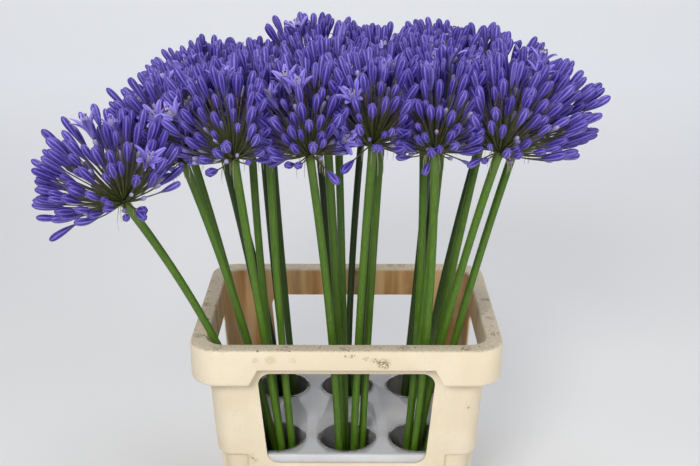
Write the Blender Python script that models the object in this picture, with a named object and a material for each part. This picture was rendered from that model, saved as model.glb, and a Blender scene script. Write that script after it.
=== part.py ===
"""Cut agapanthus standing in a cream transport crate.

Every stem is a green scape that carries one violet umbel. The stems stand in
the six round sleeves of a grey tray, with their feet on the floor of the crate
and in its water. Metres, +Z up, origin under the middle of the crate.
"""
import math
import random

import bmesh
import bpy
from mathutils import Matrix, Vector

# Crate: outer size over the rim, and heights of its features
CRATE_LENGTH = 0.431
CRATE_WIDTH = 0.323
CRATE_HEIGHT = 0.340
WALL = 0.003
FLOOR = 0.004
RIM_TOP_WIDTH = 0.0225
RIM_THICKNESS = 0.0035
RIM_CHAMFER = 0.003
SKIRT_DEPTH = 0.055
SKIRT_MIDDLE_DEPTH = 0.0285
WALL_INSET = 0.0195
WALL_SLOPE = 0.0589
RIM_CORNER_RADIUS = 0.040
CORNER_SHRINK = 0.55
CORNER_STEPS = 4

# The corners of the basin stand back from the walls between them
RECESS = 0.009
RECESS_TOP = 0.168
RECESS_FOOT = 0.160
RECESS_SIDE = 0.0765
RECESS_SLANT = 0.004
LEDGE_SHARE = 0.85

# Windows in the four walls, measured from the rim's outer corners
WINDOW_TOP = 0.295
WINDOW_FOOT = 0.147
WINDOW_TOP_MARGIN = 0.093
WINDOW_FOOT_MARGIN = 0.102
WINDOW_RADIUS = 0.018
NOTCH_TOP_MARGIN = 0.0945
NOTCH_FOOT_MARGIN = 0.0805

# Tray insert with its six sleeves, and the water below it
PLATE_TOP = 0.160
TRAY_WALL = 0.0015
TRAY_LIP_FOOT = 0.146
COLUMN_PITCH = 0.103
ROW_PITCH = 0.160
SLEEVE_RADIUS = 0.040
SLEEVE_FOOT = 0.110
SLEEVE_COLLAR = 0.0020
SLEEVE_SIDES = 20
WATER_LEVEL = 0.100
GAP = 0.0003

# Stems: how many stand in each sleeve, front row first, left to right
STEMS_IN_SLEEVE = ((6, 5, 6), (4, 4, 3))
SCAPE_RADIUS = 0.0056
SCAPE_SIDES = 6
SCAPE_STATIONS = 6
FOOT_SHARE = 1.08
WAIST_SHARE = 0.30
TOP_SHARE = 0.26
BUNCH_RADIUS = 0.025
FOOT_SPREAD = 0.75
FOOT_PULL = 0.17
GOLDEN_ANGLE = math.radians(137.508)

# Places of the umbels' bases, spread from those of the sleeves
SPREAD = Vector((1.46, 1.35))
SPLAY = Vector((2.20, 1.75))
BASE_HEIGHT = 0.622
BASE_DROP = 0.60
BASE_DROP_CENTRE = 0.045
BASE_JITTER = 0.010
BASE_SPACING = 0.084
SPACING_ROUNDS = 12
SPACING_STEP = 0.5
LEAN_LIMIT = Vector((0.225, 0.160))
LONE_BASE = Vector((-0.275, -0.200, 0.565))
LONE_AT_PLATE = Vector((-0.1250, -0.0960, PLATE_TOP))
LONE_AT_RIM = Vector((-0.1822, -0.1222, 0.340))

# Umbel: a small core with buds on short stalks
UMBEL_REACH = 0.148
SIDE_REACH = 0.80
REACH_JITTER = 0.010
CORE_RADIUS = 0.026
CORE_RISE = 0.022
CORE_SEAT_RADIUS = 0.0085
SEAT_SIDES = 5
BUDS_IN_ALL = 900
FEWEST_BUDS = 20
MOST_BUDS = 42
NECK_AT = 0.56
BUD_AT = 0.86
NECK_RADIUS = 0.0020
BUD_RADIUS = 0.0082
BUD_BEND = 1.1
CELL_MARGIN = 0.0006
SCAPE_MARGIN = 0.0030
SHORTEST_BUD = 0.55
REACH_STEP = 0.03
LOWEST_BUD = -0.22
LOWEST_CORNER = -0.45
CORNER_CHOICES = 260
HIDDEN_WEIGHT = 0.3
PROBES = 90
PROBE_SHARE = 0.9
LOWEST_PROBE = -0.15
NEIGHBOUR_RANGE = 2.5
SEED = 11

MATERIALS = {
    "crate": ((0.80, 0.70, 0.52), 0.45),
    "tray": ((0.42, 0.43, 0.45), 0.25),
    "water": ((0.55, 0.62, 0.60), 0.05),
    "scape": ((0.075, 0.16, 0.018), 0.45),
    "umbel": ((0.085, 0.055, 0.42), 0.50),
}


def clear_scene():
    for old in list(bpy.data.objects):
        bpy.data.objects.remove(old, do_unlink=True)


def add_object(name, mesh_builder, finish):
    """Turn a bmesh into a named object with its own material."""
    bmesh.ops.recalc_face_normals(mesh_builder, faces=mesh_builder.faces)
    mesh = bpy.data.meshes.new(name)
    mesh_builder.to_mesh(mesh)
    mesh_builder.free()
    piece = bpy.data.objects.new(name, mesh)
    bpy.context.scene.collection.objects.link(piece)
    colour, roughness = MATERIALS[finish]
    material = bpy.data.materials.new(name)
    material.use_nodes = True
    shader = material.node_tree.nodes["Principled BSDF"]
    shader.inputs["Base Color"].default_value = (*colour, 1.0)
    shader.inputs["Roughness"].default_value = roughness
    shader.inputs["Metallic"].default_value = 0.0
    mesh.materials.append(material)
    return piece


def add_guide(mesh_builder):
    """A helper body for a Boolean, which isn't a piece of the object."""
    bmesh.ops.recalc_face_normals(mesh_builder, faces=mesh_builder.faces)
    mesh = bpy.data.meshes.new("guide")
    mesh_builder.to_mesh(mesh)
    mesh_builder.free()
    guide = bpy.data.objects.new("guide", mesh)
    guide.display_type = "WIRE"
    guide.hide_render = True
    bpy.context.scene.collection.objects.link(guide)
    return guide


def loft(rings):
    """Skin a list of equal rings of points and close both ends."""
    shell = bmesh.new()
    made = [[shell.verts.new(point) for point in ring] for ring in rings]
    for low, high in zip(made, made[1:]):
        for here in range(len(low)):
            after = (here + 1) % len(low)
            shell.faces.new((low[here], low[after], high[after], high[here]))
    shell.faces.new(list(reversed(made[0])))
    shell.faces.new(made[-1])
    return shell


def cut(piece, cutters, operation="DIFFERENCE"):
    """Apply one Boolean per cutter and remove the cutters."""
    for cutter in cutters:
        modifier = piece.modifiers.new("cut", "BOOLEAN")
        modifier.operation = operation
        modifier.object = cutter
    bpy.context.view_layer.update()
    graph = bpy.context.evaluated_depsgraph_get()
    result = bpy.data.meshes.new_from_object(piece.evaluated_get(graph))
    piece.modifiers.clear()
    piece.data = result
    for cutter in cutters:
        bpy.data.objects.remove(cutter, do_unlink=True)


def crate_ring(inset, z, recess=0.0, step_in=0.0):
    """Rounded rectangle around the crate, standing back at its corners."""
    half_x = CRATE_LENGTH / 2 - inset
    half_y = CRATE_WIDTH / 2 - inset
    side_x = CRATE_LENGTH / 2 - RECESS_SIDE - step_in
    side_y = CRATE_WIDTH / 2 - RECESS_SIDE - step_in
    radius = RIM_CORNER_RADIUS - CORNER_SHRINK * (inset + recess)
    corner = [(half_x, side_y), (half_x - recess, side_y + RECESS_SLANT)]
    for step in range(CORNER_STEPS + 1):
        turn = math.radians(90) * step / CORNER_STEPS
        corner.append((
            half_x - recess - radius + radius * math.cos(turn),
            half_y - recess - radius + radius * math.sin(turn),
        ))
    corner += [(side_x + RECESS_SLANT, half_y - recess), (side_x, half_y)]
    back = corner[::-1]
    points = list(corner)
    points += [(-x, y) for x, y in back]
    points += [(-x, -y) for x, y in corner]
    points += [(x, -y) for x, y in back]
    return [(x, y, z) for x, y in points]


def outer_inset(z):
    return WALL_INSET + (CRATE_HEIGHT - RIM_THICKNESS - z) * WALL_SLOPE


def inner_inset(z):
    return outer_inset(z) + WALL


def crate_rings():
    """The crate's skin, from its foot up, over the rim and down inside."""
    skirt_foot = CRATE_HEIGHT - SKIRT_DEPTH
    under_rim = CRATE_HEIGHT - RIM_THICKNESS
    ledge = WALL * LEDGE_SHARE
    return [
        crate_ring(outer_inset(0.0) + FLOOR / 2, 0.0, RECESS),
        crate_ring(outer_inset(0.0), FLOOR / 2, RECESS),
        crate_ring(outer_inset(RECESS_FOOT), RECESS_FOOT, RECESS),
        crate_ring(outer_inset(RECESS_TOP), RECESS_TOP),
        crate_ring(outer_inset(under_rim), under_rim),
        crate_ring(WALL, under_rim),
        crate_ring(WALL + WALL, skirt_foot),
        crate_ring(WALL, skirt_foot),
        crate_ring(0.0, CRATE_HEIGHT - RIM_CHAMFER),
        crate_ring(RIM_CHAMFER, CRATE_HEIGHT),
        crate_ring(RIM_TOP_WIDTH, CRATE_HEIGHT),
        crate_ring(inner_inset(RECESS_TOP), RECESS_TOP + ledge, 0.0, WALL),
        crate_ring(inner_inset(RECESS_FOOT), RECESS_FOOT + ledge, RECESS, WALL),
        crate_ring(inner_inset(FLOOR), FLOOR, RECESS, WALL),
    ]


def prism(outline, depth_low, depth_high, along_x):
    """Cutter: an outline of (side, z) points pushed along Y, or along X."""
    def place(depth):
        if along_x:
            return [(depth, side, z) for side, z in outline]
        return [(side, depth, z) for side, z in outline]

    return add_guide(loft([place(depth_low), place(depth_high)]))


def window_outline(rim_half):
    """Window seen square on: wider at the top, with round corners."""
    top = rim_half - WINDOW_TOP_MARGIN
    foot = rim_half - WINDOW_FOOT_MARGIN
    middles = (
        (top - WINDOW_RADIUS, WINDOW_TOP - WINDOW_RADIUS, 0),
        (WINDOW_RADIUS - top, WINDOW_TOP - WINDOW_RADIUS, 90),
        (WINDOW_RADIUS - foot, WINDOW_FOOT + WINDOW_RADIUS, 180),
        (foot - WINDOW_RADIUS, WINDOW_FOOT + WINDOW_RADIUS, 270),
    )
    outline = []
    for side, height, start in middles:
        for step in range(CORNER_STEPS + 1):
            turn = math.radians(start + 90 * step / CORNER_STEPS)
            outline.append((
                side + WINDOW_RADIUS * math.cos(turn),
                height + WINDOW_RADIUS * math.sin(turn),
            ))
    return outline


def notch_outline(rim_half):
    """The skirt is shallow between the corners: this is what it lacks."""
    top = rim_half - NOTCH_TOP_MARGIN
    foot = rim_half - NOTCH_FOOT_MARGIN
    high = CRATE_HEIGHT - SKIRT_MIDDLE_DEPTH
    low = CRATE_HEIGHT - SKIRT_DEPTH
    below = low - WALL
    widening = (foot - top) / (high - low)
    lowest = foot + WALL * widening
    return [(top, high), (-top, high), (-lowest, below), (lowest, below)]


def build_crate():
    crate = add_object("crate", loft(crate_rings()), "crate")
    cutters = []
    for rim_half, wall_half, along_x in (
        (CRATE_LENGTH / 2, CRATE_WIDTH / 2, False),
        (CRATE_WIDTH / 2, CRATE_LENGTH / 2, True),
    ):
        reach = wall_half + WALL
        cutters.append(prism(window_outline(rim_half), -reach, reach, along_x))
        skirt_inside = wall_half - WALL_INSET + WALL
        for side in (-1, 1):
            ends = sorted((side * skirt_inside, side * reach))
            cutters.append(prism(notch_outline(rim_half), *ends, along_x))
    cut(crate, cutters)
    return crate


def sleeve_middles():
    """Middle of each sleeve, front row first, left to right."""
    return [
        [Vector(((column - 1) * COLUMN_PITCH, (row - 0.5) * ROW_PITCH)) for column in range(3)]
        for row in range(2)
    ]


def round_bar(middle, radius, low, high):
    """A plain upright cylinder, used to add to and cut the tray."""
    bar = bmesh.new()
    bmesh.ops.create_cone(
        bar, cap_ends=True, segments=SLEEVE_SIDES, radius1=radius, radius2=radius,
        depth=high - low, matrix=Matrix.Translation((middle.x, middle.y, (low + high) / 2)),
    )
    return add_guide(bar)


def tray_ring(z, inward):
    return crate_ring(inner_inset(z) + GAP + inward, z, RECESS, WALL + GAP)


def build_tray():
    """A plate with a turned-down edge, and six sleeves through it."""
    rings = [
        tray_ring(PLATE_TOP - TRAY_WALL, TRAY_WALL),
        tray_ring(TRAY_LIP_FOOT, TRAY_WALL),
        tray_ring(TRAY_LIP_FOOT, 0.0),
        tray_ring(PLATE_TOP, 0.0),
    ]
    tray = add_object("tray", loft(rings), "tray")
    middles = [middle for row in sleeve_middles() for middle in row]
    sleeves = [
        round_bar(middle, SLEEVE_RADIUS + TRAY_WALL, SLEEVE_FOOT, PLATE_TOP + SLEEVE_COLLAR)
        for middle in middles
    ]
    cut(tray, sleeves, "UNION")
    bores = [
        round_bar(middle, SLEEVE_RADIUS, SLEEVE_FOOT - TRAY_WALL, PLATE_TOP + 2 * SLEEVE_COLLAR)
        for middle in middles
    ]
    cut(tray, bores)
    return tray


def through(points, z):
    """Smooth path through points at rising heights, read at height z."""
    place = Vector((0.0, 0.0))
    for here, point in enumerate(points):
        weight = 1.0
        for other, rival in enumerate(points):
            if other != here:
                weight *= (z - rival.z) / (point.z - rival.z)
        place += weight * point.xy
    return Vector((place.x, place.y, z))


def plan_stems(dice):
    """Foot, height of the plate and umbel base of every stem."""
    stems = []
    for row, counts in enumerate(STEMS_IN_SLEEVE):
        for column, count in enumerate(counts):
            middle = sleeve_middles()[row][column]
            turn = dice.uniform(0, math.tau)
            for number in range(count):
                distance = BUNCH_RADIUS * math.sqrt((number + 0.5) / count)
                angle = turn + number * GOLDEN_ANGLE
                offset = Vector((math.cos(angle), math.sin(angle))) * distance
                foot = middle * (1 - FOOT_PULL) + offset * FOOT_SPREAD
                plate = middle + offset
                base = middle * SPREAD + offset * SPLAY
                height = BASE_HEIGHT - BASE_DROP * (base.x - BASE_DROP_CENTRE) ** 2
                height += dice.uniform(-BASE_JITTER, BASE_JITTER)
                stems.append([
                    Vector((foot.x, foot.y, FLOOR + GAP)),
                    Vector((plate.x, plate.y, PLATE_TOP)),
                    Vector((base.x, base.y, height)),
                ])
    return stems


def lean_lone_stem(stems):
    """The outermost stem at the front left leans on the rim's corner."""
    lone = min(stems[:STEMS_IN_SLEEVE[0][0]], key=lambda stem: stem[1].x + stem[1].y)
    lone[1:] = [LONE_AT_PLATE, LONE_AT_RIM, LONE_BASE]


def even_out_bases(stems):
    """Umbels push each other apart, as far as the rim lets their stalks lean."""
    for _ in range(SPACING_ROUNDS):
        for number, stem in enumerate(stems):
            for rival in stems[:number]:
                across = (stem[-1] - rival[-1]) * Vector((1, 1, 0))
                push = across.normalized() * max(0.0, BASE_SPACING - across.length) / 2
                for one, way in ((stem, push), (rival, -push)):
                    if len(one) == 3:
                        moved = one[-1] + way * SPACING_STEP
                        moved.x = max(-LEAN_LIMIT.x, min(LEAN_LIMIT.x, moved.x))
                        moved.y = max(-LEAN_LIMIT.y, min(LEAN_LIMIT.y, moved.y))
                        one[-1] = moved


def end_direction(stem):
    """Direction of a stem where it meets its umbel."""
    top = stem[-1].z
    below = through(stem, top - 0.01)
    return (stem[-1] - below).normalized()


def scape_rings(stem, grow=0.0, foot_drop=0.0):
    """Sections of a stalk that is thicker at its foot and at its top."""
    foot = stem[0].z
    axis = end_direction(stem)
    top = stem[-1] - axis * GAP
    rings = []
    for station in range(SCAPE_STATIONS + 1):
        share = station / SCAPE_STATIONS
        z = foot + (top.z - foot) * share
        middle = through(stem, z)
        tangent = (through(stem, z + 0.01) - through(stem, z - 0.01)).normalized()
        if station == 0:
            tangent = Vector((0, 0, 1))
            middle = through(stem, foot - foot_drop)
        if station == SCAPE_STATIONS:
            middle = top
            tangent = axis
        across = Vector((1, 0, 0)) - tangent * tangent.x
        across.normalize()
        along = tangent.cross(across)
        radius = SCAPE_RADIUS * (FOOT_SHARE - WAIST_SHARE * share + TOP_SHARE * share ** 3)
        rings.append([
            middle + (radius + grow) * (across * math.cos(turn) + along * math.sin(turn))
            for turn in (math.tau * side / SCAPE_SIDES for side in range(SCAPE_SIDES))
        ])
    return rings


def build_scape(name, stem):
    return add_object(name, loft(scape_rings(stem)), "scape")


def build_water(stems):
    """Water in the basin, with a plain hole for each stem."""
    rings = [
        crate_ring(inner_inset(z) + GAP, z, RECESS, WALL + GAP)
        for z in (FLOOR + GAP, WATER_LEVEL)
    ]
    water = add_object("water", loft(rings), "water")
    cutters = [
        add_guide(loft(scape_rings(stem, grow=2 * GAP, foot_drop=FLOOR)))
        for stem in stems
    ]
    cut(water, cutters)
    return water


def spread_over_dome(count):
    """Even directions over a ball, from straight up down to the last one."""
    directions = []
    for number in range(count):
        rise = 1 - 2 * (number + 0.5) / count
        flat = math.sqrt(1 - rise * rise)
        turn = number * GOLDEN_ANGLE
        directions.append(Vector((flat * math.cos(turn), flat * math.sin(turn), rise)))
    return directions


def head_middle(stem):
    return stem[-1] + end_direction(stem) * UMBEL_REACH / 2


def neighbour_planes(stems, number):
    """Planes half way to the other umbels: each keeps to its own side."""
    own = head_middle(stems[number])
    planes = []
    for other, rival in enumerate(stems):
        across = head_middle(rival) - own
        if other != number and across.length < NEIGHBOUR_RANGE * UMBEL_REACH:
            planes.append((own + across / 2, across.normalized()))
    return planes


def is_free(point, planes, rivals):
    """True where a point keeps to its umbel's side and off other stalks."""
    for middle, across in planes:
        if (point - middle).dot(across) > -CELL_MARGIN:
            return False
    for rival in rivals:
        if point.z < rival[-1].z + SCAPE_MARGIN:
            gap = (through(rival, point.z) - point).length
            if gap < SCAPE_RADIUS + SCAPE_MARGIN:
                return False
    return True


def bud_rings(base_ring, direction, reach, seat, axis):
    """Stalk, widest part and tip of one bud over a face of the core."""
    across = direction.orthogonal().normalized()
    along = direction.cross(across)
    first = base_ring[0] - seat
    start = math.atan2(first.dot(along), first.dot(across))
    rings = []
    for share, radius in ((NECK_AT, NECK_RADIUS), (BUD_AT, BUD_RADIUS)):
        ring = []
        for side in range(3):
            turn = start + math.tau * side / 3
            point = direction * reach * share
            point += radius * (across * math.cos(turn) + along * math.sin(turn))
            ring.append(bend_up(point, axis) + seat)
        rings.append(ring)
    tip = bend_up(direction * reach, axis) + seat
    return rings, tip


def bend_up(point, axis):
    """Buds that leave sideways turn up towards the light."""
    sideways = point - axis * point.dot(axis)
    return point + axis * BUD_BEND * sideways.length_squared


def longest_reach(face_points, direction, seat, axis, planes, rivals, full):
    upward = max(0.0, direction.dot(axis))
    full *= SIDE_REACH + (1 - SIDE_REACH) * upward
    reach = full
    while reach > full * SHORTEST_BUD:
        rings, tip = bud_rings(face_points, direction, reach, seat, axis)
        if all(is_free(point, planes, rivals) for ring in rings for point in ring + [tip]):
            return reach
        reach -= full * REACH_STEP
    return 0.0


def core_corners(buds, upright, seat, reach_to):
    """Corners of the core, closest together where its buds have room."""
    middle = upright @ Vector((0, 0, CORE_RISE))
    choices = []
    for direction in spread_over_dome(CORNER_CHOICES):
        if direction.z > LOWEST_CORNER:
            corner = middle + upright @ direction * CORE_RADIUS
            weight = 1.0 if reach_to(corner.normalized()) > 0 else HIDDEN_WEIGHT
            choices.append((corner, weight))
    chosen = []
    while len(chosen) < buds // 2 + 3:
        best = max(
            choices,
            key=lambda choice: choice[1] * min(
                ((choice[0] - done).length for done in chosen), default=CORE_RADIUS
            ),
        )
        chosen.append(best[0])
    return [seat + corner for corner in chosen]


def build_umbel(name, stems, number, buds, full):
    """A core of plain faces, each face but the lowest drawn out into a bud."""
    stem = stems[number]
    axis = end_direction(stem)
    seat = stem[-1]
    planes = neighbour_planes(stems, number)
    rivals = [rival for rival in stems if rival is not stem]
    upright = axis.to_track_quat("Z", "Y")

    def reach_to(direction, face_points=None):
        start = face_points or [seat + direction.orthogonal()]
        return longest_reach(start, direction, seat, axis, planes, rivals, full)

    shell = bmesh.new()
    for side in range(SEAT_SIDES):
        turn = math.tau * side / SEAT_SIDES
        rim = Vector((math.cos(turn), math.sin(turn), 0)) * CORE_SEAT_RADIUS
        shell.verts.new(seat + upright @ rim)
    for corner in core_corners(buds, upright, seat, reach_to):
        shell.verts.new(corner)
    bmesh.ops.convex_hull(shell, input=shell.verts)
    loose = [corner for corner in shell.verts if not corner.link_faces]
    bmesh.ops.delete(shell, geom=loose, context="VERTS")
    bmesh.ops.recalc_face_normals(shell, faces=shell.faces)
    for face in list(shell.faces):
        points = [corner.co.copy() for corner in face.verts]
        direction = (sum(points, Vector()) / len(points) - seat).normalized()
        if face.normal.dot(axis) < LOWEST_BUD or len(points) != 3:
            continue
        reach = reach_to(direction, points)
        if reach > 0:
            draw_bud(shell, face, direction, reach, seat, axis)
    return add_object(name, shell, "umbel")


def draw_bud(shell, face, direction, reach, seat, axis):
    """Replace one triangle of the core by a stalk and its closed bud."""
    corners = list(face.verts)
    points = [corner.co.copy() for corner in corners]
    across = direction.orthogonal().normalized()
    along = direction.cross(across)
    turns = [math.atan2((p - seat).dot(along), (p - seat).dot(across)) for p in points]
    rings, tip = bud_rings(points, direction, reach, seat, axis)
    step_back = (turns[1] - turns[0]) % math.tau > math.pi
    shell.faces.remove(face)
    last = corners
    for ring in rings:
        if step_back:
            ring = [ring[0], ring[2], ring[1]]
        fresh = [shell.verts.new(point) for point in ring]
        for here in range(3):
            after = (here + 1) % 3
            shell.faces.new((last[here], last[after], fresh[after]))
            shell.faces.new((last[here], fresh[after], fresh[here]))
        last = fresh
    end = shell.verts.new(tip)
    for here in range(3):
        shell.faces.new((last[here], last[(here + 1) % 3], end))


def share_buds(stems):
    """More buds for the umbels that stand free on more sides."""
    probes = [way for way in spread_over_dome(PROBES) if way.z > LOWEST_PROBE]
    open_shares = []
    for number, stem in enumerate(stems):
        planes = neighbour_planes(stems, number)
        free = 0
        for direction in probes:
            tip = stem[-1] + direction * UMBEL_REACH * PROBE_SHARE
            if is_free(tip, planes, []):
                free += 1
        open_shares.append(free)
    total = sum(open_shares)
    return [
        max(FEWEST_BUDS, min(MOST_BUDS, round(BUDS_IN_ALL * share / total)))
        for share in open_shares
    ]


def main():
    clear_scene()
    dice = random.Random(SEED)
    stems = plan_stems(dice)
    lean_lone_stem(stems)
    even_out_bases(stems)
    build_crate()
    build_tray()
    build_water(stems)
    buds = share_buds(stems)
    for number, stem in enumerate(stems):
        build_scape(f"scape_{number + 1:02d}", stem)
        full = UMBEL_REACH + dice.uniform(-REACH_JITTER, REACH_JITTER)
        build_umbel(f"umbel_{number + 1:02d}", stems, number, buds[number], full)


main()
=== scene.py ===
# %% [markdown]
# # A crate of cut agapanthus
#
# Agapanthus is sold as a cut flower: a smooth green stalk, called a scape,
# that carries a round head of violet-blue buds, called an umbel. The stems
# travel upright in a cream plastic crate, held apart by a grey tray with round
# sleeves. The frame holds the plain solids of all these pieces. This lesson
# dresses them, and never moves them: the main places and sizes are read from
# the frame, so each fine piece grows where its solid stands. Sizes that a box
# does not show, such as a wall's thickness or a window's height, are named here.

# %% Load the frame
import math

import bmesh
import bpy
import numpy as np
from mathutils import Matrix, Vector


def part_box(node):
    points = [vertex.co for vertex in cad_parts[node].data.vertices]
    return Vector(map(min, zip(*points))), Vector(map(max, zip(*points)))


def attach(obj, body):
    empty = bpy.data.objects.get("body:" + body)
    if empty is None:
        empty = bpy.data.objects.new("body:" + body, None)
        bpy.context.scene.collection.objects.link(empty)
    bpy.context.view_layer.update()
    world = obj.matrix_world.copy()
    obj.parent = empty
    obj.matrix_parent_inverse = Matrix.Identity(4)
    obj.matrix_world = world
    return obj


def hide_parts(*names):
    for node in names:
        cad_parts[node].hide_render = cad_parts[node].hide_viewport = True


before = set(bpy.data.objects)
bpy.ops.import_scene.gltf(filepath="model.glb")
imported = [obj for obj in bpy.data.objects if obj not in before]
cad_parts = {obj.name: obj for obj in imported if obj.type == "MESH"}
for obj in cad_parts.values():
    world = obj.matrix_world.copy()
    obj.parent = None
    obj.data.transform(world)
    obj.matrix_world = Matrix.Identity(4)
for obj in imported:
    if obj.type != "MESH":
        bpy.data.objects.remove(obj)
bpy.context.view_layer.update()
STEM_NAMES = sorted(name[len("scape_"):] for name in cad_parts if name.startswith("scape_"))

# %% [markdown]
# ## The camera
#
# The photograph was taken from the front, a little above the rim, so that the
# crate's rim shows as a flat ring. The camera's place could be guessed by
# eye, but the rim is a rectangle of known size. Its edges and those of the
# window were measured in the photograph, and the distance, height, tilt and
# focal length are those that bring the solid's own edges nearest to them.

# %% Camera
CRATE_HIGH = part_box("crate")[1]
RIM_TOP = CRATE_HIGH.z
CAMERA_PLACE = Vector((0.0087, -1.4415, RIM_TOP + 0.6348))
CAMERA_TILT = math.radians(19.97)
CAMERA_TURN = math.radians(0.17)
FOCAL_PIXELS = 1057
PHOTO_WIDTH = 700
SENSOR_WIDTH = 36.0

camera_data = bpy.data.cameras.new("camera")
camera_data.sensor_width = SENSOR_WIDTH
camera_data.lens = FOCAL_PIXELS * SENSOR_WIDTH / PHOTO_WIDTH
camera = bpy.data.objects.new("camera", camera_data)
camera.location = CAMERA_PLACE
camera.rotation_euler = (math.radians(90) - CAMERA_TILT, 0, CAMERA_TURN)
bpy.context.scene.collection.objects.link(camera)
bpy.context.scene.camera = camera
print("camera lens:", round(camera_data.lens, 1), "mm")

# %% [markdown]
# ## Shader maths as plain expressions
#
# A procedural finish is a sum of small patterns. Building it node by node
# hides the sum, so a small class wraps a node's socket and lets Python's own
# operators add the Math nodes. One method makes any other node: it takes the
# node's type, its settings, and the values or links of its sockets.

# %% Socket arithmetic
class Wire:
    """A number on its way through a material."""

    def __init__(self, finish, socket):
        self.finish = finish
        self.socket = socket

    def maths(self, operation, first, second=None):
        values = {0: first} if second is None else {0: first, 1: second}
        return self.finish.node("ShaderNodeMath", {"operation": operation}, values)["Value"]

    def __add__(self, other):
        return self.maths("ADD", self, other)

    def __radd__(self, other):
        return self.maths("ADD", other, self)

    def __sub__(self, other):
        return self.maths("SUBTRACT", self, other)

    def __rsub__(self, other):
        return self.maths("SUBTRACT", other, self)

    def __mul__(self, other):
        return self.maths("MULTIPLY", self, other)

    def __rmul__(self, other):
        return self.maths("MULTIPLY", other, self)

    def __truediv__(self, other):
        return self.maths("DIVIDE", self, other)

    def __pow__(self, other):
        return self.maths("POWER", self, other)

    def size(self):
        return self.maths("ABSOLUTE", self)

    def at_least(self, other):
        return self.maths("MAXIMUM", self, other)

    def at_most(self, other):
        return self.maths("MINIMUM", self, other)


class Finish:
    """A material whose nodes are written as expressions."""

    def __init__(self, name, **constants):
        self.material = bpy.data.materials.new(name)
        self.material.use_nodes = True
        self.tree = self.material.node_tree
        self.shader = self.tree.nodes["Principled BSDF"]
        for socket, value in constants.items():
            self.shader.inputs[socket.replace("_", " ")].default_value = value

    def node(self, kind, settings=None, values=None):
        """Add a node; its outputs come back by name, each as a wire."""
        node = self.tree.nodes.new(kind)
        for setting, value in (settings or {}).items():
            setattr(node, setting, value)
        for socket, value in (values or {}).items():
            self.feed(node.inputs[socket], value)
        return {output.name: Wire(self, output) for output in node.outputs if output.enabled}

    def feed(self, socket, value):
        if isinstance(value, Wire):
            self.tree.links.new(value.socket, socket)
        elif isinstance(value, tuple) and len(value) == 3 and socket.type == "RGBA":
            socket.default_value = (*value, 1.0)
        else:
            socket.default_value = value

    def step(self, wire, low, high):
        """0 below low, 1 above high, smooth between."""
        settings = {"interpolation_type": "SMOOTHSTEP", "clamp": True}
        values = {"Value": wire, "From Min": low, "From Max": high, "To Min": 0.0, "To Max": 1.0}
        return self.node("ShaderNodeMapRange", settings, values)["Result"]

    def mix(self, share, first, second):
        """A first colour that turns into a second one as the share rises."""
        node = self.tree.nodes.new("ShaderNodeMix")
        node.data_type = "RGBA"
        colours = [socket for socket in node.inputs if socket.type == "RGBA"]
        self.feed(node.inputs["Factor"], share)
        self.feed(colours[0], first)
        self.feed(colours[1], second)
        result = [socket for socket in node.outputs if socket.type == "RGBA"][0]
        return Wire(self, result)

    def stain(self, colour, wire, low, high, strength, tint):
        """Lay a tint over a colour where the wire rises from low to high."""
        return self.mix(self.step(wire, low, high) * strength, colour, tint)

    def place(self):
        """The point of the object that is being shaded, in metres."""
        return self.node("ShaderNodeTexCoord")["Object"]

    def scaled(self, place, sizes):
        values = {0: place, 1: sizes}
        return self.node("ShaderNodeVectorMath", {"operation": "MULTIPLY"}, values)["Vector"]

    def parts(self, place):
        axes = self.node("ShaderNodeSeparateXYZ", values={"Vector": place})
        return axes["X"], axes["Y"], axes["Z"]

    def noise(self, place, scale, detail=2.0, roughness=0.5, distortion=0.0):
        values = {"Vector": place, "Scale": scale, "Detail": detail}
        values |= {"Roughness": roughness, "Distortion": distortion}
        return self.node("ShaderNodeTexNoise", None, values)["Fac"]

    def mesh_value(self, name):
        return self.node("ShaderNodeAttribute", {"attribute_name": name})["Fac"]

    def bump(self, height, strength, distance):
        values = {"Height": height, "Strength": strength, "Distance": distance}
        return self.node("ShaderNodeBump", None, values)["Normal"]

    def use(self, **feeds):
        for socket, wire in feeds.items():
            self.feed(self.shader.inputs[socket.replace("_", " ")], wire)
        return self.material


print("shader words:", [word for word in dir(Finish) if not word.startswith("_")])

# %% [markdown]
# ## Putting a mesh into the scene
#
# Every piece of this lesson is a mesh that is worked out in Python. Blender's
# own operators could make them one at a time, but a head has hundreds of small
# parts, so the points and faces are collected in arrays and handed over once.
# Values stored at the points, such as how far along a bud a point lies, are
# what the finishes read later.

# %% Mesh helpers
def mesh_object(name, points, faces, material, values=None):
    mesh = bpy.data.meshes.new(name)
    mesh.from_pydata(np.asarray(points, float).tolist(), [], [list(map(int, f)) for f in faces])
    for value_name, numbers in (values or {}).items():
        layer = mesh.attributes.new(value_name, "FLOAT", "POINT")
        layer.data.foreach_set("value", np.asarray(numbers, np.float32))
    mesh.shade_smooth()
    mesh.materials.append(material)
    piece = bpy.data.objects.new(name, mesh)
    bpy.context.scene.collection.objects.link(piece)
    return piece


def settle(piece, node):
    """Tie a finished piece to the frame, in place of one of its solids."""
    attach(piece, "root")
    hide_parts(node)


def count_triangles(piece):
    piece.data.calc_loop_triangles()
    return len(piece.data.loop_triangles)


print("helpers ready")

# %% [markdown]
# ## The crate's skin
#
# The crate is one injection moulding of cream plastic. Its walls are thin and
# taper, so that empty crates nest, and its rim is folded over and hangs down as
# a skirt that stiffens the edge. It could be modelled from a box with insets,
# but the whole form is one rounded rectangle that grows, shrinks and steps
# back at its corners as it rises. So the skin is a list of such outlines, from
# the foot up the outside, over the rim, and down the inside.

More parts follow.
